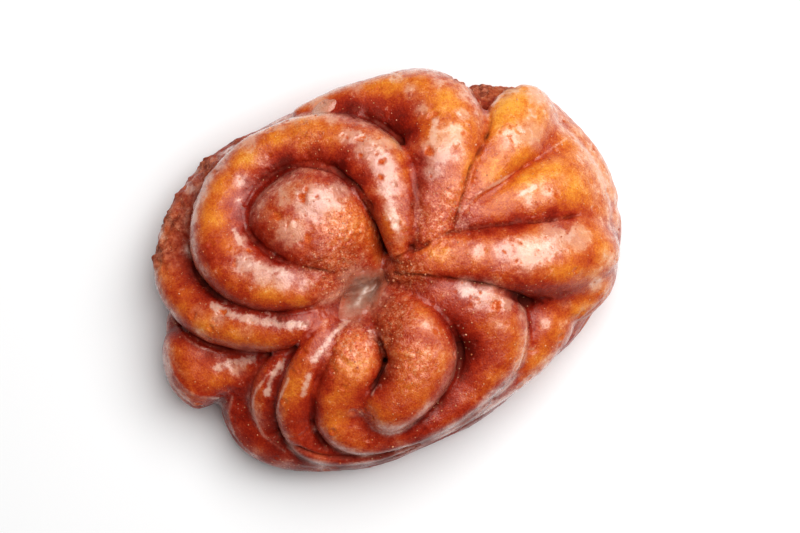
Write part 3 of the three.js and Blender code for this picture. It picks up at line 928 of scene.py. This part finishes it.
# a look's strengths, by mark; broad, mottle, fine and tiny are noises and count from their middle
crust = {
    "colours": [(0.0, (0.12, 0.004, 0.002)), (0.2, (0.25, 0.009, 0.003)), (0.4, (0.40, 0.026, 0.006)),
                (0.6, (0.58, 0.088, 0.010)), (0.8, (0.77, 0.20, 0.016)), (1.0, (0.92, 0.39, 0.045))],
    "plainTone": 0.63,
    # painted shade: dip darkens the colour in valleys, slope on steep flanks, inward on flanks turned
    # inwards, and the painted-shade patches where they lie
    "tone": {"golden": 0.34, "dip": -0.5, "slope": -0.12, "inward": 0.4, "paintedShade": -0.3,
             "broad": 0.5, "mottle": 0.5, "fine": 0.36, "tiny": 0.55},
    "grainColours": [(0.34, (0.40, 0.016, 0.006)), (0.46, (0.68, 0.072, 0.013)), (0.56, (0.88, 0.19, 0.034)),
                     (0.68, (0.95, 0.40, 0.17))],
    "plainGrain": 0.57,
    # painted shade: the grain is darker in valleys
    "grainTone": {"fine": 0.5, "tiny": 0.5, "dip": -0.14},
    "grainSpread": 0.8,
    "plainScar": 0.48,
    "scarTone": {"fine": 0.5, "tiny": 0.7},
    "scarColour": (0.50, 0.075, 0.010),
    "scarColourShare": 0.55,
    "scarStrength": 0.9,
    "wallColours": [(0.36, (0.18, 0.026, 0.013)), (0.5, (0.39, 0.080, 0.036)), (0.64, (0.66, 0.23, 0.13))],
    # painted shade: near-black colour in the creases
    "creaseShadeColour": (0.075, 0.005, 0.003),
    "crystalColour": (0.94, 0.50, 0.28),
    "crystals": {"size": 0.8, "reach": 0.45, "strength": 0.4},
    "speckGlintColour": (0.95, 0.52, 0.25),
    # painted highlight: colour of the small glint specks
    "specks": {"size": 1.1, "reach": 0.2, "strength": 0.5},
    "milkAndSheenColour": (0.80, 0.42, 0.30),
    "warmMilkAndSheen": (0.90, 0.46, 0.27),
    "milkAndSheen": {"low": -0.5, "mottle": 0.9, "fine": 0.6, "tiny": 0.3},
    "milkAndSheenStrength": 0.56,
    "milkAndSheenShares": {"rims": 0.7, "lip": 0.85, "thin": 0.45, "thick": 0.55},
    "broadNoise": (9, 3),    # size in mm and detail
    "broadWhereLow": (1.6, 0.4),
    "lowWarmth": 0.6,
    "grainCrystals": 1.2,
    "grainBare": 0.7,
    "creaseSharpness": 1.8,
    # a mask times the first, plus the second, kept between 0 and 1
    "sharpened": {"rims": (1.5, -0.4), "thinMilkAndSheen": (2.0, -0.55), "thickMilkAndSheen": (4.5, -2.3),
                  "outOfValleys": (-4.0, 3.4), "offPaintedShade": (-1.15, 1.0), "glints": (9.0, -0.5),
                  "goldenGlints": (0.9, -0.2), "streaks": (1.6, -0.8), "offBare": (-0.6, 0.6)},
    "plainFlakes": -0.3,
    "flakes": {"fine": 5.5, "tiny": 4.5},
    "grainFlakes": 0.9,
    "glintColour": (0.96, 0.66, 0.52),
    "glintStrength": 0.6,
    "streaks": {"fine": 3.0, "mottle": 2.0},
    "plainRough": 0.26,
    "rough": {"golden": 0.1, "matt": 0.6, "grain": -0.08, "paintedShade": 0.14, "fine": 0.4, "milkAndSheen": -0.1},
    "plainCoat": 0.3,
    "coat": {"milkAndSheen": 0.65, "grain": 0.5, "matt": -1.0, "paintedShade": -0.6, "scars": -0.7, "mottle": 0.6},
    "bump": 0.3,             # mm
    "coatBump": 0.2,
    # a pair is the strength of the bumps by grain or milk: times the first, plus the second
    "bumps": {"fine": (1.6, 0.15), "tiny": (0.8, 0.5), "underMilkAndSheen": (-0.3, 1.0), "specks": 0.3, "wall": 4.0},
    "constants": {"Coat Roughness": 0.12, "Coat IOR": 1.75, "IOR": 1.5, "Specular IOR Level": 0.26,
                  "Specular Tint": (1, 0.62, 0.42, 1), "Subsurface Weight": 0.12,
                  "Subsurface Radius": (1.0, 0.35, 0.12), "Subsurface Scale": 0.0012},
}


def crustColour(n, m, creaseShade, fine, crystals):
    colour = n.ramp(n.weigh(crust["plainTone"], m, crust["tone"]), crust["colours"])
    grainy = n.ramp(n.weigh(crust["plainGrain"], m, crust["grainTone"]), crust["grainColours"])
    colour = n.mix(n.times(m["grain"], crust["grainSpread"], clamp=True), colour, grainy)
    colour = n.mix(n.times(crystals, crust["crystals"]["strength"]), colour, crust["crystalColour"])
    scarred = n.ramp(n.weigh(crust["plainScar"], m, crust["scarTone"]), crust["grainColours"])
    scarred = n.mix(crust["scarColourShare"], scarred, crust["scarColour"])
    colour = n.mix(n.times(m["scars"], crust["scarStrength"]), colour, scarred)
    colour = n.mix(creaseShade, colour, crust["creaseShadeColour"])
    return n.mix(m["wall"], colour, n.ramp(fine, crust["wallColours"]))


def sharpened(n, value, name):
    return n.scaled(value, *crust["sharpened"][name], clamp=True)


# the milky film with its painted highlight and painted rim reflection: thin over most of the crests, thick in
# patches, none in valleys and where the crust is bare
def milkAndSheenMask(n, m, bare):
    share = crust["milkAndSheenShares"]
    # pale rims on outward-facing flanks: milky film and a painted reflection of the white table
    rims = sharpened(n, n.math("MAXIMUM", m["outward"], 0.0), "rims")
    milkAndSheen = n.most(m["filmAndSheen"], n.times(rims, share["rims"]), n.times(m["lip"], share["lip"]))
    milkAndSheen = n.scaled(m["broad"], n.scaled(m["low"], *crust["broadWhereLow"]), milkAndSheen)
    milkAndSheen = n.weigh(milkAndSheen, m, crust["milkAndSheen"])
    thickMilkAndSheen = sharpened(n, milkAndSheen, "thickMilkAndSheen")
    milkAndSheen = n.scaled(thickMilkAndSheen, share["thick"], n.times(sharpened(n, milkAndSheen, "thinMilkAndSheen"), share["thin"]))
    milkAndSheen = n.times(milkAndSheen, sharpened(n, m["dip"], "outOfValleys"))
    milkAndSheen = n.times(milkAndSheen, sharpened(n, m["paintedShade"], "offPaintedShade"))
    milkAndSheen = n.times(milkAndSheen, n.math("SUBTRACT", 1.0, bare, clamp=True))
    flakes = n.weigh(crust["plainFlakes"], m, crust["flakes"], clamp=True)
    flakes = n.times(flakes, n.times(m["grain"], crust["grainFlakes"], clamp=True))
    return n.most(milkAndSheen, flakes), thickMilkAndSheen


def makeCrust():             # m holds the marks and the noises that the looks are weighed from
    n = Nodes("glazedCrust")
    place = n.add("ShaderNodeTexCoord").outputs["Object"]
    m = {name: n.attribute(name) for name in marks}
    mottle, fine, tiny = sugary(n, place)
    broad = n.noise(place, *crust["broadNoise"])
    for name, value in {"broad": broad, "mottle": mottle, "fine": fine, "tiny": tiny}.items():
        m[name] = n.math("ADD", value, -0.5)
    specks = n.specks(place, crust["specks"]["size"], crust["specks"]["reach"])
    crystals = n.specks(place, crust["crystals"]["size"], crust["crystals"]["reach"])
    crystals = n.times(crystals, n.times(m["grain"], crust["grainCrystals"], clamp=True))
    # painted shade: creases and cut seams are coloured near black
    creaseShade = n.most(n.math("POWER", m["crease"], crust["creaseSharpness"]), m["cut"])
    m["inward"] = n.math("MINIMUM", m["outward"], 0.0)
    m["matt"] = n.most(m["wall"], m["tight"], creaseShade)
    bare = n.most(m["matt"], m["scars"], n.times(m["grain"], crust["grainBare"]))
    m["milkAndSheen"], thickMilkAndSheen = milkAndSheenMask(n, m, bare)
    warm = n.scaled(m["low"], crust["lowWarmth"], m["golden"], clamp=True)
    milkAndSheenColour = n.mix(warm, crust["milkAndSheenColour"], crust["warmMilkAndSheen"])
    colour = crustColour(n, m, creaseShade, fine, crystals)
    # milky film and painted highlight mixed into the colour
    colour = n.mix(n.times(m["milkAndSheen"], crust["milkAndSheenStrength"]), colour, milkAndSheenColour)
    # painted highlights: glints in the thick milky film on golden crests and streaks along the shine lines,
    # mixed towards a pale glint colour
    glints = n.times(sharpened(n, m["fine"], "glints"), thickMilkAndSheen)
    glints = n.times(glints, sharpened(n, m["golden"], "goldenGlints"))
    streaks = sharpened(n, n.weigh(m["shine"], m, crust["streaks"]), "streaks")
    streaks = n.times(streaks, sharpened(n, bare, "offBare"))
    colour = n.mix(n.times(n.most(glints, streaks), crust["glintStrength"]), colour, crust["glintColour"])
    # painted highlight: small pale glint specks, which are also small bumps
    colour = n.mix(n.times(specks, crust["specks"]["strength"]), colour, crust["speckGlintColour"])
    bumps = crust["bumps"]
    height = n.times(fine, n.scaled(m["grain"], *bumps["fine"]))
    height = n.scaled(tiny, n.scaled(m["grain"], *bumps["tiny"]), height)
    height = n.scaled(specks, bumps["specks"], height)
    height = n.times(height, n.scaled(m["milkAndSheen"], *bumps["underMilkAndSheen"]))
    height = n.scaled(n.times(m["wall"], fine), bumps["wall"], height)
    return n.finish({
        "Base Color": colour,
        "Roughness": n.weigh(crust["plainRough"], m, crust["rough"]),
        "Coat Weight": n.weigh(crust["plainCoat"], m, crust["coat"], clamp=True),
        "Normal": n.bump(height, crust["bump"]),
        "Coat Normal": n.bump(height, crust["coatBump"]),
    }, crust["constants"])


skin.materials.append(makeCrust())
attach(doughnut, "root")
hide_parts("doughnut")
say("dough")

ground = BVHTree.FromPolygons([v.co for v in skin.vertices], [p.vertices for p in skin.polygons])


def heightAt(x, y):          # of the dough, in mm
    hit = ground.ray_cast(Vector((x * mm, y * mm, 1)), Vector((0, 0, -1)))[0]
    return hit.z / mm if hit else 0


# an oval of glaze each: middle, half sizes and the turn of its long way, in mm and degrees
puddles = {
    "pool": {"x": -7, "y": -3.6, "length": 7.2, "width": 4.4, "turn": 32, "thick": 0.85, "waver": 0.3,
             "glaze": "pool", "streaked": 1},
    "tailDrip": {"x": 2.4, "y": 37.8, "length": 3.2, "width": 1.8, "turn": 8, "thick": 0.6, "waver": 0.2,
                 "glaze": "drip", "streaked": 0},
}
puddleSkin = {"around": 96, "levels": 64, "sunk": 0.8, "rolled": 0.12, "steepest": 2.5}
# the pool's ridge, which the pool glaze also paints with a highlight
streak = {"from": (-9.4, -5), "to": (-5.8, -2.8), "width": 0.5, "height": 0.3}


def alongStreak(x, y):
    a, b = Vector(streak["from"]), Vector(streak["to"])
    share = max(0, min(1, (Vector((x, y)) - a).dot(b - a) / (b - a).length_squared))
    away = (Vector((x, y)) - a.lerp(b, share)).length
    return math.exp(-(away / streak["width"]) ** 2)


def makePuddle(name, x, y, length, width, turn, thick, waver, glaze, streaked):
    bm = bmesh.new()
    bmesh.ops.create_uvsphere(bm, u_segments=puddleSkin["around"], v_segments=puddleSkin["levels"], radius=1)
    edge = bm.verts.layers.float.new("edge")
    ridgeHighlight = bm.verts.layers.float.new("ridgeHighlight")
    turn = math.radians(turn)
    for v in bm.verts:
        flat = min(1, math.hypot(v.co.x, v.co.y))
        bearing = math.atan2(v.co.y, v.co.x)
        spread = 1 + waver * noise.noise(Vector((math.cos(bearing), math.sin(bearing), x)) * 1.7)
        along, across = length * spread * v.co.x, width * spread * v.co.y
        dx = along * math.cos(turn) - across * math.sin(turn)
        dy = along * math.sin(turn) + across * math.cos(turn)
        pulled = 1           # drawn in where it would fall off the dough
        while heightAt(x + dx * pulled, y + dy * pulled) < heightAt(x, y) - puddleSkin["steepest"]:
            pulled -= 0.1
        px, py = x + dx * pulled, y + dy * pulled
        v[edge] = flat
        v[ridgeHighlight] = alongStreak(px, py) * streaked
        rolled = puddleSkin["rolled"] * flat ** 8
        top = thick * (1 - flat ** 2) - rolled + streak["height"] * v[ridgeHighlight]
        below = -puddleSkin["sunk"] * (1 - flat ** 4) - rolled
        v.co = (px, py, heightAt(px, py) + (top if v.co.z > 0 else below))
    bmesh.ops.smooth_vert(bm, verts=bm.verts, factor=0.5, use_axis_z=True)
    bmesh.ops.scale(bm, vec=(mm, mm, mm), verts=bm.verts)
    for f in bm.faces:
        f.smooth = True
    mesh = meshFrom(bm, name)
    mesh.materials.append(glazes[glaze])
    piece = addObject(name, mesh)
    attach(piece, "root")


setGlaze = {
    "pool": {"middle": [(0.25, (0.34, 0.10, 0.055)), (0.5, (0.40, 0.19, 0.125)), (0.75, (0.50, 0.31, 0.23))],
             "edge": [(0.3, (0.36, 0.045, 0.014)), (0.7, (0.52, 0.14, 0.07))]},
    "drip": {"middle": [(0.3, (0.56, 0.20, 0.11)), (0.7, (0.68, 0.34, 0.22))],
             "edge": [(0.3, (0.56, 0.16, 0.08)), (0.7, (0.74, 0.36, 0.24))]},
    "edgeFrom": (2.2, -0.9),
    "ragged": (1.4, -0.7),
    "streakHighlightColour": (0.84, 0.68, 0.58),
    "streakHighlightStrength": 0.8,
    "streakBroken": (3.0, -0.8),
    "rough": (0.3, 0.1),
    "bump": 0.2,
    "constants": {"Coat Weight": 0.5, "Coat Roughness": 0.08, "Subsurface Weight": 0.3,
                  "Subsurface Radius": (1.0, 0.6, 0.4), "Subsurface Scale": 0.0015},
}


def makeSetGlaze(kind):
    n = Nodes(kind + "Glaze")
    place = n.add("ShaderNodeTexCoord").outputs["Object"]
    cloud, fine, tiny = sugary(n, place)
    edge = n.scaled(n.attribute("edge"), *setGlaze["edgeFrom"], clamp=True)
    edge = n.math("ADD", edge, n.scaled(fine, *setGlaze["ragged"]), clamp=True)
    colour = n.mix(edge, n.ramp(cloud, setGlaze[kind]["middle"]), n.ramp(cloud, setGlaze[kind]["edge"]))
    broken = n.scaled(n.noise(place, 1, 4, 0.7), *setGlaze["streakBroken"], clamp=True)
    # painted highlight: a pale, broken streak along the pool's ridge
    streakHighlight = n.times(n.attribute("ridgeHighlight"), broken)
    colour = n.mix(n.times(streakHighlight, setGlaze["streakHighlightStrength"]), colour, setGlaze["streakHighlightColour"])
    return n.finish({
        "Base Color": colour,
        "Roughness": n.scaled(cloud, *setGlaze["rough"]),
        "Normal": n.bump(tiny, setGlaze["bump"]),
    }, setGlaze["constants"])


glazes = {kind: makeSetGlaze(kind) for kind in ("pool", "drip")}
for name, puddle in puddles.items():
    makePuddle(name, **puddle)
say("puddles of glaze")

sugar = {"count": 700, "smallest": 0.09, "largest": 0.27, "everywhere": 0.03, "sunk": 0.7,
         "fewLarge": 3, "thinnest": 0.7, "uneven": 0.6, "steepest": 0.5, "lowest": 8, "deepest": 0.58,
         "rough": (0.5, 0.05),
         "colour": [(0.35, (0.46, 0.06, 0.015)), (0.5, (0.66, 0.22, 0.09)), (0.7, (0.86, 0.48, 0.30))]}


def scatterSugar():
    rng = np.random.default_rng(29)
    co = readPoints(skin) / mm
    normal = readNormals(skin)
    wanted = patchShare("grain", co[:, :2]) + sugar["everywhere"]
    dipped = read(skin.attributes["dip"].data, "value", 1)[:, 0]
    steep = normal[:, 2] < sugar["steepest"]
    wanted[steep | (co[:, 2] < sugar["lowest"]) | (dipped > sugar["deepest"])] = 0
    bm = bmesh.new()
    for i in rng.choice(len(co), sugar["count"], replace=False, p=wanted / wanted.sum()):
        large = rng.random() ** sugar["fewLarge"]
        radius = sugar["smallest"] + (sugar["largest"] - sugar["smallest"]) * large
        at = co[i] + normal[i] * radius * (1 - sugar["sunk"])
        sides = radius * (sugar["thinnest"] + sugar["uneven"] * rng.random(3))
        squeeze = Matrix.Diagonal((*sides, 1))
        turn = Matrix.Rotation(rng.random() * 6.28, 4, Vector(rng.normal(size=3)).normalized())
        placed = Matrix.Translation(at) @ turn @ squeeze
        bmesh.ops.create_icosphere(bm, subdivisions=1, radius=1, matrix=placed)
    bmesh.ops.scale(bm, vec=(mm, mm, mm), verts=bm.verts)
    mesh = meshFrom(bm, "sugarGrains")
    n = Nodes("sugarGrain")
    place = n.add("ShaderNodeTexCoord").outputs["Object"]
    mottle, fine, tiny = sugary(n, place)
    mesh.materials.append(n.finish({
        "Base Color": n.ramp(fine, sugar["colour"]),
        "Roughness": n.scaled(tiny, *sugar["rough"]),
    }, {}))
    piece = addObject("sugarGrains", mesh)
    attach(piece, "root")


scatterSugar()
say("sugar grains")
